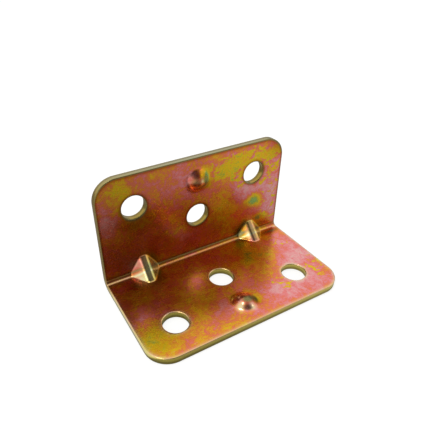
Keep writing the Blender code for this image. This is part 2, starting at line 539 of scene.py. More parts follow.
    def _pierce(self, at: tuple[int, int]) -> None:
        """Remove a hole's cells, and keep the ring of points round it, walked clockwise.

        Args:
            at: Column and row of the hole's middle.
        """
        half = self.hole_steps
        self.kept[at[0] - half:at[0] + half, at[1] - half:at[1] + half] = False
        side = np.arange(-half, half)
        end = np.full(2 * half, half)
        columns = np.concatenate([side, end, -side, -end]) + at[0]
        rows = np.concatenate([-end, side, end, -side]) + at[1]
        self.holes.append(self._index(columns, rows)[::-1])

    def _index(self, columns: Array, rows: Array) -> Array:
        """Return the numbers of grid points in the flattened grid."""
        return columns * self.x.shape[1] + rows

    def near_edge(self, reach: float) -> Array:
        """Work out how near the grid's points are to a sheared edge.

        The distance to the outer edge is that of a rectangle with round corners: the radius less
        the distance past the rectangle of the arcs' centres. The nearness is e to the power of
        minus the square of the distance over the reach.

        Args:
            reach: The distance over which the nearness fades.

        Returns:
            The nearness of each point, 1 on the edge.
        """
        x, s, radius = self.x.ravel(), self.s.ravel(), self.sizes.corner_radius
        over_x = np.abs(x) - (self.sizes.half_length - radius)
        over_s = np.abs(s) - (self.sizes.flange_depth - radius)
        past_centres = np.hypot(np.maximum(over_x, 0), np.maximum(over_s, 0))
        distance = radius - past_centres - np.minimum(np.maximum(over_x, over_s), 0)
        for loop in self.holes:
            to_centre = np.hypot(x - x[loop].mean(), s - s[loop].mean())
            distance = np.minimum(distance, to_centre - self.sizes.hole_radius)
        return np.exp(-(distance / reach) ** 2)

    def cells(self) -> Array:
        """Gather the cells that the holes leave.

        Returns:
            The four corners of each, counterclockwise on the blank.
        """
        column, row = np.nonzero(self.kept)
        return np.stack([
            self._index(column, row),
            self._index(column + 1, row),
            self._index(column + 1, row + 1),
            self._index(column, row + 1),
        ], axis=1)

    def outline(self) -> Array:
        """Gather the points of the outer edge.

        Returns:
            Their numbers, counterclockwise on the blank.
        """
        columns, rows = (count - 1 for count in self.x.shape)
        right, up = np.arange(columns), np.arange(rows)
        corners = [
            (right, np.zeros_like(right)),
            (np.full_like(up, columns), up),
            (columns - right, np.full_like(right, rows)),
            (np.zeros_like(up), rows - up),
        ]
        return np.concatenate([self._index(*corner) for corner in corners])


@dataclass(frozen=True)
class ShearedEdge:
    """The section of a sheared edge, from the skin that the punch enters to the other skin.

    The punch draws the near skin down in a roll, burnishes the first part of the wall and tears
    the rest, which leans back a little and ends in a small broken edge.

    Attributes:
        sheet: The sheet's thickness.
        roll: Radius of the roll.
        burnished: Share of the thickness where the burnished wall ends.
        tear: Share of the thickness over which it turns into the torn wall.
        lean: How far the torn wall leans back.
        far_break: Radius of the broken edge.
        skin_wall: Share of wall in the first and the last point of the section.
        roll_steps: Faces on the roll.
        break_steps: Faces on the broken edge.
    """

    sheet: float
    roll: float = 0.18 * MM
    burnished: float = 0.45
    tear: float = 0.12
    lean: float = 0.025 * MM
    far_break: float = 0.11 * MM
    skin_wall: float = 0.1
    roll_steps: int = 5
    break_steps: int = 3

    def section(self) -> tuple[Array, Array, Array, Array]:
        """Return the section's points between the two skins.

        Returns:
            The distance outwards from the grid's edge, the depth below the near skin, the share
            of wall and the share of torn wall.
        """
        turn = np.linspace(0, math.pi / 2, self.roll_steps + 1)[1:]
        back = np.linspace(0, math.pi / 2, self.break_steps + 1)
        foot = self.roll - self.lean - self.far_break
        out = [
            self.roll * np.sin(turn),
            [self.roll, self.roll - self.lean],
            foot + self.far_break * np.cos(back),
        ]
        depth = [
            self.roll * (1 - np.cos(turn)),
            [self.sheet * self.burnished, self.sheet * (self.burnished + self.tear)],
            self.sheet - self.far_break * (1 - np.sin(back)),
        ]
        wall = [
            np.linspace(self.skin_wall, 1, self.roll_steps),
            [1.0, 1.0],
            np.linspace(1, self.skin_wall, self.break_steps + 1),
        ]
        torn = [np.zeros(self.roll_steps), [0.0, 1.0], np.linspace(1, 0, self.break_steps + 1)]
        return tuple(np.concatenate(part) for part in (out, depth, wall, torn))


@dataclass(frozen=True)
class Patch:
    """A soft patch that changes one of the marks, placed on the blank in millimetres."""

    x: float
    s: float
    reach_x: float
    reach_s: float
    change: float

    def lay(self, x: Array, s: Array) -> Array:
        """Return the change at places on the blank, as a bell over the distance."""
        distance = ((x / MM - self.x) / self.reach_x) ** 2 + ((s / MM - self.s) / self.reach_s) ** 2
        return self.change * np.exp(-distance)


@dataclass(frozen=True)
class Skin:
    """The patches of one face of the sheet.

    Attributes:
        film: Where the passivation film is thicker or thinner than usual, and where its tints paint
        reflections on the inner skin's dimples and darts.
        flakes: Where crisp thin flakes break it up.
        stain: Where stains and painted shade darken it, and past 1 as dark as the darkest.
        worn: Where pressing and handling have thinned it, and where bare zinc paints highlights.
        pale: Where the sheared edge beside it is paler.
    """

    film: tuple[Patch, ...]
    flakes: tuple[Patch, ...]
    stain: tuple[Patch, ...]
    worn: tuple[Patch, ...] = ()
    pale: tuple[Patch, ...] = ()

    def lay(self, x: Array, s: Array) -> dict[Mark, Array]:
        """Work out the marks of one face of the sheet, each the sum of its patches.

        Args:
            x: Places along the fold.
            s: Places across the fold.

        Returns:
            Every mark at these places. A face has no sheared wall, so its two marks are 0.
        """
        patches = {
            Mark.FILM: self.film,
            Mark.FLAKES: self.flakes,
            Mark.STAIN: self.stain,
            Mark.WORN: self.worn,
            Mark.PALE: self.pale,
        }
        none = np.zeros_like(x)
        return {mark: sum((patch.lay(x, s) for patch in patches.get(mark, ())), none) for mark in Mark}


INNER_SKIN = Skin(
    film=(
        Patch(-16.5, 22.0, 3.0, 2.0, -0.20),
        Patch(-17.8, 19.0, 1.5, 2.0, -0.18),
        Patch(-13.0, 14.2, 3.0, 1.8, -0.14),
        Patch(-20.0, 15.5, 2.2, 2.6, 0.22),
        Patch(-10.0, 20.8, 3.5, 2.5, 0.14),
        Patch(-10.0, 23.6, 2.0, 0.8, -0.14),
        Patch(-4.0, 22.0, 4.0, 4.0, 0.13),
        Patch(5.0, 23.8, 2.0, 1.0, -0.18),
        Patch(8.0, 22.0, 6.0, 3.5, 0.12),
        Patch(17.0, 22.0, 5.0, 3.0, 0.10),
        Patch(11.0, 14.5, 3.0, 2.5, 0.20),
        Patch(6.5, 11.5, 3.0, 3.5, -0.24),
        Patch(-4.0, 9.0, 4.0, 2.2, -0.05),
        Patch(15.2, 10.8, 2.2, 1.7, -0.72),
        Patch(17.5, 12.5, 6.0, 5.0, 0.28),
        Patch(20.5, 6.5, 3.0, 3.0, 0.20),
        Patch(13.0, 6.0, 4.0, 2.0, -0.08),
        Patch(-14.0, -6.5, 9.0, 4.0, -0.12),
        Patch(-15.0, 8.5, 7.0, 3.5, 0.07),
        Patch(0.0, -18.0, 2.2, 1.0, -0.16),
        Patch(9.8, -9.2, 3.0, 3.2, -0.31),
        Patch(9.5, -15.5, 3.5, 2.5, -0.20),
        Patch(14.0, -10.5, 2.5, 3.0, -0.18),
        Patch(10.4, -3.8, 1.7, 1.3, -0.30),
        Patch(17.5, 5.0, 2.4, 1.3, -0.32),
        # Painted reflections: these tints on the upper dimple stand for the dark, green and gold
        # surroundings that its dome mirrors
        Patch(1.8, 20.4, 1.1, 2.0, -0.62),
        Patch(-1.2, 20.3, 1.4, 1.8, 0.24),
        Patch(0.4, 21.7, 0.7, 0.7, -0.24),
        # Painted reflections: these tints on the lower dimple stand for the dark core, the dark green
        # side and the gold ring that its dome mirrors
        Patch(0.2, -20.4, 1.2, 1.6, 0.30),
        Patch(1.8, -20.4, 0.8, 1.3, -0.46),
        Patch(3.0, -20.3, 0.8, 2.0, -0.24),
        # Painted reflections and shade: these tints on the darts' flanks and crests stand for the bright
        # and dark surroundings that they mirror
        Patch(-12.0, 0.0, 1.5, 5.0, -0.42),
        Patch(-15.3, 2.8, 1.4, 2.0, 0.30),
        Patch(16.3, 0.0, 1.1, 4.0, -0.30),
        Patch(11.6, 1.5, 0.7, 2.5, -0.34),
        Patch(12.8, 4.2, 0.8, 1.4, -0.36),
        Patch(12.6, 0.0, 0.8, 1.8, -0.14),
        Patch(-10.0, -14.5, 4.0, 3.0, -0.08),
        Patch(-20.0, -14.0, 2.5, 1.8, 0.12),
        Patch(-8.0, 6.2, 16.0, 3.6, 0.06),
        Patch(-20.0, -20.0, 4.0, 3.5, -0.24),
        Patch(-4.5, -20.0, 3.0, 2.5, 0.14),
        Patch(20.0, -12.0, 7.0, 7.0, 0.19),
        Patch(11.0, -21.5, 9.0, 4.5, 0.20),
        Patch(15.0, -14.0, 4.0, 3.0, 0.08),
    ),
    flakes=(
        Patch(6.5, 20.5, 5.0, 3.5, 1.4),
        Patch(15.0, 22.3, 7.0, 3.5, 1.25),
        Patch(12.5, 16.0, 4.0, 3.0, 0.7),
        Patch(7.0, 11.5, 3.0, 3.0, 1.0),
        Patch(20.0, 14.0, 4.0, 8.0, 1.0),
        Patch(18.0, 5.5, 4.0, 2.5, 0.7),
        Patch(18.5, -8.5, 4.5, 4.0, 0.72),
        Patch(20.0, -19.0, 6.0, 4.0, 1.15),
        Patch(10.0, -19.0, 4.0, 3.5, 0.85),
        Patch(-5.0, -23.5, 8.0, 2.0, 0.7),
        Patch(-18.0, -20.0, 6.0, 4.5, 0.65),
        Patch(-16.0, 22.5, 6.0, 2.5, 0.65),
        Patch(-18.0, 19.0, 2.0, 3.0, 0.6),
    ),
    # Stains and painted shade: most of these darken the inner skin where it mirrors the dark side of the
    # room or the other flange, along the fold, in the double-mirrored zones, on the darts' shaded flanks
    # and in the dimples' dark cores
    stain=(
        Patch(0.0, 0.6, 40.0, 0.5, 1.8),
        Patch(-17.0, 6.0, 8.0, 9.0, 0.45),
        Patch(-2.0, 5.0, 10.0, 6.0, 0.4),
        Patch(9.0, 5.0, 6.0, 5.0, 0.25),
        Patch(-12.0, 14.8, 5.0, 2.6, 0.9),
        Patch(0.0, 22.0, 2.5, 4.0, 0.3),
        Patch(21.0, 24.0, 3.0, 3.0, 0.8),
        Patch(-16.5, 14.0, 3.0, 3.0, 0.4),
        Patch(-5.0, -18.0, 3.0, 3.0, 0.4),
        Patch(-19.0, -7.0, 6.0, 6.0, 0.25),
        Patch(3.0, -7.0, 6.0, 5.0, 0.25),
        Patch(9.0, -8.0, 4.0, 5.0, 0.6),
        Patch(-9.0, -15.0, 5.0, 4.0, 0.4),
        Patch(-11.2, 0.0, 1.1, 6.0, 1.7),
        Patch(16.4, 0.0, 1.1, 4.0, 0.5),
        Patch(19.4, -2.4, 2.4, 0.9, 2.2),
        Patch(-16.4, -4.4, 1.6, 1.4, 0.9),
        Patch(-0.8, 20.3, 1.3, 1.5, 1.3),
        Patch(1.0, 20.8, 0.7, 1.2, 1.0),
        Patch(1.2, 18.6, 1.6, 1.0, 1.8),
        Patch(0.3, -20.7, 1.2, 0.9, 3.0),
        Patch(2.3, -21.2, 0.9, 1.2, 1.0),
        Patch(-14.9, 2.2, 1.0, 1.8, 0.4),
        Patch(-18.5, -22.0, 4.0, 2.0, 0.45),
        Patch(-14.5, -5.6, 3.5, 1.4, 0.9),
        Patch(11.5, 1.4, 0.8, 2.4, 1.8),
        Patch(12.9, 4.0, 0.9, 1.6, 1.8),
        Patch(11.9, -2.2, 1.0, 1.0, 1.4),
    ),
    # Wear and painted highlights: the patches on the dimples and along the fold paint bright reflections
    # as bare zinc, and those on the darts are pressing wear and painted highlight both
    worn=(
        Patch(-15.0, -3.0, 1.2, 2.2, 0.9),
        Patch(-13.4, 0.0, 0.9, 6.0, 0.7),
        Patch(13.1, -0.8, 0.5, 1.6, 0.6),
        Patch(14.3, 0.0, 0.9, 6.0, 0.6),
        Patch(-20.0, -0.9, 4.0, 0.55, 1.0),
        Patch(0.0, -0.85, 30.0, 0.35, 0.8),
        Patch(-1.8, -21.3, 0.7, 0.8, 1.0),
        Patch(0.3, -22.4, 0.8, 0.5, 1.0),
        Patch(-1.1, -19.0, 0.5, 0.6, 0.7),
        Patch(0.4, 20.2, 0.35, 0.6, 0.9),
    ),
    pale=(
        Patch(0.0, 25.4, 40.0, 4.0, 0.9),
        Patch(-22.2, -13.0, 1.5, 10.0, 0.5),
        Patch(0.0, 11.6, 4.0, 4.0, 0.7),
        Patch(-14.4, 18.1, 4.0, 4.0, 0.8),
        Patch(14.4, 18.1, 4.0, 4.0, 0.7),
    ),
)
OUTER_SKIN = Skin(
    film=(
        Patch(-12.0, 12.0, 9.0, 7.0, -0.12),
        Patch(9.0, 18.0, 8.0, 6.0, 0.20),
        Patch(14.0, -10.0, 9.0, 8.0, -0.14),
        Patch(-10.0, -17.0, 8.0, 6.0, 0.20),
    ),
    flakes=(
        Patch(-6.0, 14.0, 9.0, 8.0, 0.8),
        Patch(10.0, -16.0, 9.0, 7.0, 0.8),
    ),
    stain=(
        Patch(0.0, 0.0, 20.0, 5.0, 0.4),
    ),
)


class Wire:
    """A value in a shader, which adds Math nodes where it is calculated with."""

    def __init__(self, board: "Board", socket: bpy.types.NodeSocket) -> None:
        """Hold the socket and the board that its nodes are laid out on."""
        self.board = board
        self.socket = socket

    def __add__(self, other: "Wire | float") -> "Wire":
        """Return self + other."""
        return self.board.math("ADD", self, other)

    def __sub__(self, other: "Wire | float") -> "Wire":
        """Return self - other."""
        return self.board.math("SUBTRACT", self, other)

    def __rsub__(self, other: float) -> "Wire":
        """Return other - self."""
        return self.board.math("SUBTRACT", other, self)

    def __mul__(self, other: "Wire | float") -> "Wire":
        """Return self * other."""
        return self.board.math("MULTIPLY", self, other)

    __radd__ = __add__
    __rmul__ = __mul__


@dataclass(frozen=True)
class Noise:
    """A soft noise from 0 to 1 on the object's own coordinates.

    Attributes:
        grain: Size of its grains, about.
        detail: How many finer layers it has.
        roughness: How strong the finer layers are.
        distortion: How far it is bent.
        scale: Scale of the place along each axis, below 1 where the grains are drawn out.
    """

    grain: float
    detail: float = 2.0
    roughness: float = 0.5
    distortion: float = 0.0
    scale: tuple[float, float, float] = (1.0, 1.0, 1.0)


class Board:
    """Lays out the nodes of one shader."""

    def __init__(self, tree: bpy.types.NodeTree) -> None:
        """Start on an empty node tree."""
        self.tree = tree
        self.tree.nodes.clear()

    def node(self, kind: str, settings: dict[str, Any] | None = None,
             inputs: dict[str | int, Any] | None = None) -> bpy.types.Node:
        """Add a node.

        Args:
            kind: Blender's name of the node type.
            settings: Properties, which are set first. "stops" holds a ramp's places and colours.
            inputs: Values or links by the name or number of their socket.

        Returns:
            The node.
        """
        made = self.tree.nodes.new(kind)
        for name, value in (settings or {}).items():
            if name == "stops":
                self._set_stops(made.color_ramp, value)
            else:
                setattr(made, name, value)
        for name, value in (inputs or {}).items():
            if isinstance(value, Wire):
                self.tree.links.new(value.socket, made.inputs[name])
            else:
                made.inputs[name].default_value = value
        return made

    @staticmethod
    def _set_stops(ramp: bpy.types.ColorRamp, stops: Sequence[tuple[float, Colour]]) -> None:
        """Give a ramp its stops.

        Args:
            ramp: The ramp, as new.
            stops: Each stop's place and colour, from first to last.
        """
        while len(ramp.elements) < len(stops):
            ramp.elements.new(1.0)
        for element, (place, colour) in zip(ramp.elements, stops):
            element.position = place
            element.color = colour

    def wire(self, node: bpy.types.Node, output: str | int = 0) -> Wire:
        """Return one output of a node."""
        return Wire(self, node.outputs[output])

    def math(self, operation: str, *values: "Wire | float") -> Wire:
        """Return the result of a Math node."""
        return self.wire(self.node("ShaderNodeMath", {"operation": operation}, dict(enumerate(values))))

    def step(self, value: Wire, low: float, high: float) -> Wire:
        """Return a smooth step from 0 at low to 1 at high."""
        settings = {"interpolation_type": "SMOOTHSTEP"}
        return self.wire(self.node("ShaderNodeMapRange", settings, {0: value, 1: low, 2: high}))

    def mix(self, share: "Wire | float", first: "Wire | Colour", second: "Wire | Colour",
            way: str = "MIX") -> Wire:
        """Return two colours mixed, with the share of the second."""
        settings = {"data_type": "RGBA", "blend_type": way}
        return self.wire(self.node("ShaderNodeMix", settings, {0: share, 6: first, 7: second}), 2)

    def mark(self, mark: Mark) -> Wire:
        """Return a number that the mesh's points carry."""
        return self.wire(self.node("ShaderNodeAttribute", {"attribute_name": mark.value}), "Fac")

    def place(self, scale: tuple[float, float, float] = (1.0, 1.0, 1.0)) -> Wire:
        """Return the place on the object, scaled along each axis."""
        place = self.wire(self.node("ShaderNodeTexCoord"), "Object")
        return self.wire(self.node("ShaderNodeMapping", {}, {"Vector": place, "Scale": scale}))

    def noise(self, noise: Noise) -> Wire:
        """Lay out a noise.

        Args:
            noise: Its settings.

        Returns:
            The noise, from 0 to 1.
        """
        inputs = {
            "Vector": self.place(noise.scale),
            "Scale": 1 / noise.grain,
            "Detail": noise.detail,
            "Roughness": noise.roughness,
            "Distortion": noise.distortion,
        }
        return self.wire(self.node("ShaderNodeTexNoise", {}, inputs), "Fac")

    def facing(self, way: tuple[float, float, float], edge: tuple[float, float]) -> Wire:
        """Find the part of a world's sky that lies towards one way.

        Args:
            way: The way, of any length.
            edge: The cosines of the angles from it where the part begins and is full.

        Returns:
            A smooth step from 0 outside the part to 1 in it.
        """
        ray = self.wire(self.node("ShaderNodeTexCoord"), "Generated")
        ways = {0: ray, 1: Vector(way).normalized()}
        cosine = self.node("ShaderNodeVectorMath", {"operation": "DOT_PRODUCT"}, ways)
        return self.step(self.wire(cosine, "Value"), *edge)

    def seen_and_mirrored(self) -> tuple[Wire, Wire]:
        """Tell the kinds of rays apart.

        Returns:
            1 where the ray is seen straight or through something, and 1 where it is mirrored.
        """
        path = self.node("ShaderNodeLightPath")
        straight, through = self.wire(path, "Is Camera Ray"), self.wire(path, "Is Transmission Ray")
        return self.math("MAXIMUM", straight, through), self.wire(path, "Is Glossy Ray")


def tint(red: float, green: float, blue: float) -> Colour:
    """Return an opaque colour."""
    return (red, green, blue, 1.0)


@dataclass(frozen=True)
class YellowZinc:
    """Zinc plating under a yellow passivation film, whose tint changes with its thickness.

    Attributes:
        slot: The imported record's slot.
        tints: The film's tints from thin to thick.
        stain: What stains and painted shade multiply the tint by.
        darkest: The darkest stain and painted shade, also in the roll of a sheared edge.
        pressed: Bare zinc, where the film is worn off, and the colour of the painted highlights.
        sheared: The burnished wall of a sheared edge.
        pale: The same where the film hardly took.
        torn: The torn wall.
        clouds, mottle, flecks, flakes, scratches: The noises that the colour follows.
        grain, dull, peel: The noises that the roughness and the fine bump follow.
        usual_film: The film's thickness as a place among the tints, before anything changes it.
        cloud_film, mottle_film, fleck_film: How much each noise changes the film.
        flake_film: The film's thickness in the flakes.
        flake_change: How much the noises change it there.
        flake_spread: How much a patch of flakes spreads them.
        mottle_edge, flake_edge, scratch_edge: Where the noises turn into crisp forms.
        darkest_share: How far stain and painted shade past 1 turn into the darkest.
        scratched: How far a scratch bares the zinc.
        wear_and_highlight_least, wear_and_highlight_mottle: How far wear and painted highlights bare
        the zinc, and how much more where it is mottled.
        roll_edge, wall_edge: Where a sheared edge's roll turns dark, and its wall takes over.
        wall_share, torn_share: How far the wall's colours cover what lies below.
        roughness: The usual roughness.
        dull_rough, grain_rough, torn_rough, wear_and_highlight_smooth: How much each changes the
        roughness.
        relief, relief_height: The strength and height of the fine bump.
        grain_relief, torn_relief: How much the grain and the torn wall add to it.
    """

    slot: Slot = Slot.YELLOW_ZINC
    tints: tuple[tuple[float, Colour], ...] = (
        (0.00, tint(0.27, 0.45, 0.12)),
        (0.12, tint(0.42, 0.42, 0.05)),
        (0.26, tint(0.77, 0.53, 0.015)),
        (0.38, tint(0.78, 0.39, 0.03)),
        (0.48, tint(0.78, 0.25, 0.05)),
        (0.55, tint(0.78, 0.19, 0.11)),
        (0.62, tint(0.79, 0.22, 0.21)),
        (0.72, tint(0.80, 0.31, 0.31)),
        (0.84, tint(0.79, 0.41, 0.38)),
        (1.00, tint(0.77, 0.50, 0.42)),
    )
    stain: Colour = tint(0.62, 0.48, 0.24)
    darkest: Colour = tint(0.22, 0.185, 0.07)
    pressed: Colour = tint(0.78, 0.72, 0.41)
    sheared: Colour = tint(0.84, 0.72, 0.14)
    pale: Colour = tint(0.37, 0.37, 0.27)
    torn: Colour = tint(0.20, 0.15, 0.05)
    clouds: Noise = Noise(6.0 * MM, 2.0, 0.5, 0.4)
    mottle: Noise = Noise(1.7 * MM, 3.0, 0.6, 0.8)
    flecks: Noise = Noise(0.5 * MM, 2.0, 0.6, 0.3)
    flakes: Noise = Noise(2.4 * MM, 6.0, 0.62, 0.8, (1.0, 1.3, 1.3))
    scratches: Noise = Noise(0.20 * MM, 2.0, 0.6, 0.6, (0.22, 1.0, 1.0))
    grain: Noise = Noise(0.12 * MM, scale=(0.06, 1.0, 1.0))
    dull: Noise = Noise(2.6 * MM, 3.0, 0.6)
    peel: Noise = Noise(0.45 * MM)
    usual_film: float = 0.48
    cloud_film: float = 0.42
    mottle_film: float = 0.15
    fleck_film: float = 0.32
    flake_film: float = 0.27
    flake_change: float = 0.45
    flake_spread: float = 0.25
    mottle_edge: tuple[float, float] = (0.36, 0.64)
    flake_edge: tuple[float, float] = (0.485, 0.545)
    scratch_edge: tuple[float, float] = (0.66, 0.74)
    darkest_share: float = 0.85
    scratched: float = 0.35
    wear_and_highlight_least: float = 0.5
    wear_and_highlight_mottle: float = 0.8
    roll_edge: tuple[float, float] = (0.02, 0.3)
    wall_edge: tuple[float, float] = (0.5, 1.0)
    wall_share: float = 0.9
    torn_share: float = 0.55
    roughness: float = 0.27
    dull_rough: float = 0.16
    grain_rough: float = 0.08
    torn_rough: float = 0.18
    wear_and_highlight_smooth: float = 0.10
    relief: float = 0.25
    relief_height: float = 0.02 * MM
    grain_relief: float = 0.35
    torn_relief: float = 1.5

    def _film(self, board: Board, mottle: Wire, flecks: Wire) -> Wire:
        """Work out the film's thickness.

        The usual thickness, the patches and the noises add up, and inside the flakes a thinner
        film takes their place. Each noise counts by how far it is from its middle, 0.5.

        Args:
            board: The material's board.
            mottle: The mottling.
            flecks: The flecks.

        Returns:
            The thickness, as a place among the tints.
        """
        film = self.usual_film + board.mark(Mark.FILM)
        film = film + self.cloud_film * (board.noise(self.clouds) - 0.5)
        film = film + self.mottle_film * (board.step(mottle, *self.mottle_edge) - 0.5)
        film = film + self.fleck_film * (flecks - 0.5)
        broken = board.noise(self.flakes) + self.flake_spread * (board.mark(Mark.FLAKES) - 1.0)
        flake = self.flake_film + self.flake_change * (mottle - 0.5) + self.flake_change * (flecks - 0.5)
        return film + board.step(broken, *self.flake_edge) * (flake - film)

    def _colour(self, board: Board, film: Wire, mottle: Wire, worn: Wire, torn: Wire) -> Wire:
        """Work out the colour.

        The film's tint is stained and darkened with painted shade, then worn and scratched down to
        bare zinc, which also paints highlights. A sheared edge covers it with a dark roll, then a
        wall that is burnished, pale or torn.

        Args:
            board: The material's board.
            film: The film's thickness.
            mottle: The mottling.
            worn: The share of wear and painted highlight.
            torn: The share of torn wall.

        Returns:
            The colour.
        """
        wall, pale = board.mark(Mark.WALL), board.mark(Mark.PALE)
        # Stains and painted shade darken the tint, except where wear and painted highlights bare the
        # zinc
        darkened = board.mark(Mark.STAIN) * (1 - worn)
        ramp = board.node("ShaderNodeValToRGB", {"stops": self.tints}, {"Fac": film})
        colour = board.mix(darkened, board.wire(ramp, "Color"), self.stain, "MULTIPLY")
        colour = board.mix(self.darkest_share * (darkened - 1.0), colour, self.darkest)
        scratches = board.step(board.noise(self.scratches), *self.scratch_edge)
        # Wear, scratches and painted highlights turn the colour to bare zinc
        bare = worn * (self.wear_and_highlight_least + self.wear_and_highlight_mottle * mottle) + self.scratched * scratches
        colour = board.mix(bare, colour, self.pressed)
        colour = board.mix(darkened * board.step(wall, *self.roll_edge), colour, self.darkest)
        burnished = board.mix(pale, self.sheared, self.pale)
        burnished = board.mix(darkened * (1 - pale), burnished, self.stain, "MULTIPLY")
        colour = board.mix(self.wall_share * board.step(wall, *self.wall_edge), colour, burnished)
        return board.mix(self.torn_share * torn, colour, self.torn)

    def material(self) -> bpy.types.Material:
        """Build the material.

        Returns:
            The material, named as its slot.
        """
        made = bpy.data.materials.new(self.slot.value)
        made.use_nodes = True
        board = Board(made.node_tree)
        mottle, flecks, grain = (board.noise(noise) for noise in (self.mottle, self.flecks, self.grain))
        worn, torn = board.mark(Mark.WORN), board.mark(Mark.TORN)
        roughness = self.roughness + self.dull_rough * (board.noise(self.dull) - 0.5)
        roughness = roughness + self.grain_rough * (grain - 0.5)
        roughness = roughness + self.torn_rough * torn - self.wear_and_highlight_smooth * worn
        height = board.noise(self.peel) + self.grain_relief * grain + self.torn_relief * torn * flecks
        relief = board.node("ShaderNodeBump", {}, {
            "Strength": self.relief,
            "Distance": self.relief_height,
            "Height": height,
        })
        shader = board.node("ShaderNodeBsdfPrincipled", {}, {
            "Base Color": self._colour(board, self._film(board, mottle, flecks), mottle, worn, torn),
            "Metallic": 1.0,
            "Roughness": roughness,
            "Normal": board.wire(relief),
        })
        board.node("ShaderNodeOutputMaterial", {}, {"Surface": board.wire(shader)})
        return made


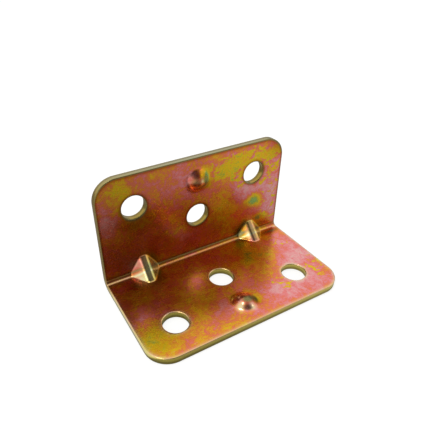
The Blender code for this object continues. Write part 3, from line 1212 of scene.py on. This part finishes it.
@dataclass
class CornerBrace:
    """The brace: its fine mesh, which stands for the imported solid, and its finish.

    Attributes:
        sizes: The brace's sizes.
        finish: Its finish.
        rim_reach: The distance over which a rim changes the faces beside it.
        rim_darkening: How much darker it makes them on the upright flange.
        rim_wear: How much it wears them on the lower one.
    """

    sizes: BraceSizes
    finish: YellowZinc
    rim_reach: float = 0.45 * MM
    rim_darkening: float = 2.0
    rim_wear: float = 0.6

    def __post_init__(self) -> None:
        """Set up the parts that the mesh is made from."""
        self.pressing = Pressing(self.sizes)
        self.edge = ShearedEdge(self.sizes.sheet)
        self.blank = Blank(self.sizes, self.pressing.fold_zone, self.edge.roll)

    def _upright(self, s: Array) -> Array:
        """Return 0 on the lower flange and 1 on the upright, with a ramp over the fold."""
        return np.clip(0.5 + s / (2 * self.pressing.fold_zone), 0, 1)

    def _loops(self) -> list[tuple[Array, Array, Array]]:
        """Find the way out of the sheet all round the outline and the holes.

        At the outline it leads away from the nearest point of the rectangle that the corners'
        arcs are centred on, and at a hole towards the middle of the hole.

        Returns:
            Each loop's points, with the two parts of the way, along and across the fold.
        """
        sizes, x, s = self.sizes, self.blank.x.ravel(), self.blank.s.ravel()
        outline = self.blank.outline()
        reach_x = sizes.half_length - sizes.corner_radius
        reach_s = sizes.flange_depth - sizes.corner_radius
        past_x = x[outline] - np.clip(x[outline], -reach_x, reach_x)
        past_s = s[outline] - np.clip(s[outline], -reach_s, reach_s)
        loops = [(outline, *unit(past_x, past_s))]
        for hole in self.blank.holes:
            loops.append((hole, *unit(x[hole].mean() - x[hole], s[hole].mean() - s[hole])))
        return loops

    def _rim(self, loop: Array, out_x: Array, out_s: Array,
             first: int) -> tuple[Array, dict[Mark, Array], Array]:
        """Carry the sheared edge's section along a loop of the grid's points.

        Args:
            loop: The numbers of the loop's points, with the sheet on its left.
            out_x: The way out of the sheet at each point, along the fold.
            out_s: The same, across the fold.
            first: The number that the first new point gets.

        Returns:
            The new points, their marks, and the faces from skin to skin.
        """
        x, s = self.blank.x.ravel()[loop], self.blank.s.ravel()[loop]
        out, depth, wall, torn = self.edge.section()
        places = self.pressing.carry(
            x[:, None] + out * out_x[:, None],
            s[:, None] + out * out_s[:, None],
            depth * np.ones_like(x)[:, None],
        )
        count, levels = len(loop), len(out)
        numbers = first + np.arange(count * levels).reshape(count, levels)
        chains = np.column_stack([loop, numbers, loop + self.blank.x.size])
        after = np.roll(chains, -1, axis=0)
        faces = np.stack([chains[:, :-1], chains[:, 1:], after[:, 1:], after[:, :-1]], axis=-1)
        marks = {mark: np.repeat(values, levels) for mark, values in INNER_SKIN.lay(x, s).items()}
        upright = np.repeat(self._upright(s), levels)
        marks[Mark.FLAKES] = np.zeros_like(upright)
        marks[Mark.STAIN] = self.rim_darkening * upright
        marks[Mark.WORN] = self.rim_wear * (1 - upright)
        marks[Mark.WALL] = np.tile(wall, count)
        marks[Mark.TORN] = np.tile(torn, count)
        return places.reshape(-1, 3), marks, faces.reshape(-1, 4)

    def build(self) -> bpy.types.Object:
        """Build the mesh from both skins and the edges between them.

        Returns:
            The brace, with its finish.
        """
        x, s = self.blank.x.ravel(), self.blank.s.ravel()
        points = [self.pressing.carry(x, s, depth) for depth in (0.0, self.sizes.sheet)]
        marks = [skin.lay(x, s) for skin in (INNER_SKIN, OUTER_SKIN)]
        near, upright = self.blank.near_edge(self.rim_reach), self._upright(s)
        for laid in marks:
            laid[Mark.STAIN] = laid[Mark.STAIN] + self.rim_darkening * near * upright
            laid[Mark.WORN] = laid[Mark.WORN] + self.rim_wear * near * (1 - upright)
        cells = self.blank.cells()
        faces = [cells, cells[:, ::-1] + x.size]
        for loop, out_x, out_s in self._loops():
            rim = self._rim(loop, out_x, out_s, sum(len(part) for part in points))
            points.append(rim[0])
            marks.append(rim[1])
            faces.append(rim[2])
        joined = {mark: np.concatenate([laid[mark] for laid in marks]) for mark in Mark}
        return self._object(np.concatenate(points), joined, np.concatenate(faces))

    def _object(self, points: Array, marks: dict[Mark, Array], faces: Array) -> bpy.types.Object:
        """Make an object of the points that the faces use, and give it its marks and finish.

        Args:
            points: The points in space.
            marks: Every mark, at each point.
            faces: The numbers of each face's four points.

        Returns:
            The object.
        """
        used, corners = np.unique(faces, return_inverse=True)
        mesh = bpy.data.meshes.new("pressed_sheet")
        mesh.vertices.add(len(used))
        mesh.vertices.foreach_set("co", points[used].ravel())
        mesh.loops.add(corners.size)
        mesh.loops.foreach_set("vertex_index", corners.ravel())
        mesh.polygons.add(len(faces))
        mesh.polygons.foreach_set("loop_start", np.arange(len(faces)) * 4)
        mesh.polygons.foreach_set("loop_total", np.full(len(faces), 4))
        mesh.update(calc_edges=True)
        mesh.validate()
        mesh.shade_smooth()
        for mark, values in marks.items():
            layer = mesh.attributes.new(mark.value, "FLOAT", "POINT")
            layer.data.foreach_set("value", values[used])
        mesh.materials.append(self.finish.material())
        piece = bpy.data.objects.new("pressed_sheet", mesh)
        bpy.context.scene.collection.objects.link(piece)
        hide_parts(CAD_NODE)
        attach(piece, CAD_BODY)
        return piece


@dataclass(frozen=True)
class SoftLamp:
    """A soft box that points at the brace."""

    name: str
    place: tuple[float, float, float]
    width: float
    height: float
    watts: float

    def build(self) -> bpy.types.Object:
        """Hang the lamp.

        Returns:
            The lamp.
        """
        light = bpy.data.lights.new(self.name, "AREA")
        light.shape = "RECTANGLE"
        light.size = self.width
        light.size_y = self.height
        light.energy = self.watts
        lamp = bpy.data.objects.new(self.name, light)
        lamp.location = self.place
        lamp.rotation_euler = (-Vector(self.place)).to_track_quat("-Z", "Y").to_euler()
        bpy.context.scene.collection.objects.link(lamp)
        return lamp


@dataclass(frozen=True)
class Studio:
    """The pale floor, the white room, the lamps and the camera.

    Attributes:
        floor_half: Half the floor's width.
        paper: The floor's colour in the light.
        floor_glow: How much the floor glows where it is seen, so that it is white.
        mirrored_floor: How bright the metal mirrors it.
        right_gain, right_rise: How much brighter to the right, and where that begins and ends.
        left_gain, left_edge, left_end: How much brighter close by the brace's left edge, and
            where that begins and ends along x and along y.
        camera_place: The camera's place.
        camera_turn: The camera's turns about x, y and z in degrees.
        lens: The lens, in millimetres.
        shift: How far the lens is shifted sideways and up, in widths of the picture.
        nearest: The least distance that the camera sees.
        room_light: Strength of the room's light.
        dark_side, dark_edge, dark_share: The way to the room's dark side, the cosines of the
            angles from it where the dark begins and is full, and how much darker it is.
        low_side, low_edge, low_share: The same for the low light on the right.
        lamps: The soft boxes.
    """

    floor_half: float = 0.6
    paper: Colour = tint(0.3, 0.3, 0.3)
    floor_glow: float = 0.8
    mirrored_floor: float = 0.06
    right_gain: float = 0.36
    right_rise: tuple[float, float] = (-20 * MM, 50 * MM)
    left_gain: float = 0.6
    left_edge: tuple[float, float] = (-22.6 * MM, -22.2 * MM)
    left_end: tuple[float, float] = (8 * MM, 16 * MM)
    camera_place: tuple[float, float, float] = (-0.03923, -0.05586, 0.06310)
    camera_turn: tuple[float, float, float] = (55.740, 0.361, -29.561)
    lens: float = 35.79
    shift: tuple[float, float] = (0.0551, 0.0122)
    nearest: float = 1.0 * MM
    room_light: float = 1.0
    dark_side: tuple[float, float, float] = (0.0, -0.80, 0.60)
    dark_edge: tuple[float, float] = (0.65, 0.96)
    dark_share: float = 0.92
    low_side: tuple[float, float, float] = (0.90, 0.42, 0.10)
    low_edge: tuple[float, float] = (0.86, 0.97)
    low_share: float = 0.75
    lamps: tuple[SoftLamp, ...] = (
        SoftLamp("overhead_soft_box", (-0.09, 0.0, 0.28), 0.06, 0.06, 0.10),
        SoftLamp("left_soft_box", (-0.27, -0.11, 0.12), 0.12, 0.08, 0.04),
        SoftLamp("right_strip", (0.23, -0.18, 0.14), 0.03, 0.08, 0.015),
    )

    def _paper(self) -> bpy.types.Material:
        """Make the floor's paper, which keeps the brace's shadow.

        Where it is seen it glows, so that it is white, and where the metal mirrors it the glow
        is weaker, brighter to the right and brightest close by the brace's left edge.

        Returns:
            The material.
        """
        made = bpy.data.materials.new("white_paper")
        made.use_nodes = True
        board = Board(made.node_tree)
        paper = board.node("ShaderNodeBsdfDiffuse", {}, {"Color": self.paper})
        place = board.node("ShaderNodeSeparateXYZ", {}, {0: board.place()})
        along, back = board.wire(place, "X"), board.wire(place, "Y")
        close_by = (1 - board.step(along, *self.left_edge)) * (1 - board.step(back, *self.left_end))
        bright = self.right_gain * board.step(along, *self.right_rise) + self.left_gain * close_by
        seen, mirrored = board.seen_and_mirrored()
        glow = seen * self.floor_glow + mirrored * (self.mirrored_floor + bright)
        light = board.node("ShaderNodeEmission", {}, {"Strength": glow})
        both = board.node("ShaderNodeAddShader", {}, {0: board.wire(paper), 1: board.wire(light)})
        board.node("ShaderNodeOutputMaterial", {}, {"Surface": board.wire(both)})
        return made

    def floor(self) -> bpy.types.Object:
        """Lay the floor.

        Returns:
            The floor, a square about the origin.
        """
        reach = self.floor_half
        corners = [(-reach, -reach, 0), (reach, -reach, 0), (reach, reach, 0), (-reach, reach, 0)]
        mesh = bpy.data.meshes.new("floor")
        mesh.from_pydata(corners, [], [(0, 1, 2, 3)])
        mesh.materials.append(self._paper())
        floor = bpy.data.objects.new("floor", mesh)
        bpy.context.scene.collection.objects.link(floor)
        return floor

    def room(self) -> bpy.types.World:
        """Light the room: white where it is seen, and dim on two sides where it lights the brace.

        Returns:
            The world.
        """
        world = bpy.data.worlds.new("white_room")
        bpy.context.scene.world = world
        world.use_nodes = True
        board = Board(world.node_tree)
        dark = self.dark_share * board.facing(self.dark_side, self.dark_edge)
        low = self.low_share * board.facing(self.low_side, self.low_edge)
        light = self.room_light * (1 - dark) * (1 - low)
        seen, _ = board.seen_and_mirrored()
        strength = light * (1 - seen) + seen
        ground = board.node("ShaderNodeBackground", {}, {"Color": tint(1, 1, 1), "Strength": strength})
        board.node("ShaderNodeOutputWorld", {}, {"Surface": board.wire(ground)})
        return world

    def camera(self) -> bpy.types.Object:
        """Stand the camera where the photograph was taken.

        Returns:
            The camera.
        """
        data = bpy.data.cameras.new("camera")
        data.lens = self.lens
        data.shift_x, data.shift_y = self.shift
        data.clip_start = self.nearest
        camera = bpy.data.objects.new("camera", data)
        camera.location = self.camera_place
        camera.rotation_euler = Euler([math.radians(turn) for turn in self.camera_turn])
        bpy.context.scene.collection.objects.link(camera)
        bpy.context.scene.camera = camera
        return camera

    def build(self) -> None:
        """Set up the studio."""
        self.floor()
        self.room()
        self.camera()
        for lamp in self.lamps:
            lamp.build()
        bpy.context.scene.view_settings.view_transform = "Standard"


def main() -> None:
    """Build the studio and the brace."""
    logging.basicConfig(level=logging.INFO, format="%(name)s: %(message)s")
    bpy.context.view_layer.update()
    low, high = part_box(CAD_NODE)
    sizes = BraceSizes(fold_length=high[0] - low[0], flange_depth=high[2] - low[2])
    Studio().build()
    brace = CornerBrace(sizes, YellowZinc()).build()
    log.info("%s: %d faces, slot %s", brace.name, len(brace.data.polygons), Slot.YELLOW_ZINC.value)
    bpy.context.view_layer.update()


if __name__ == "__main__":
    main()
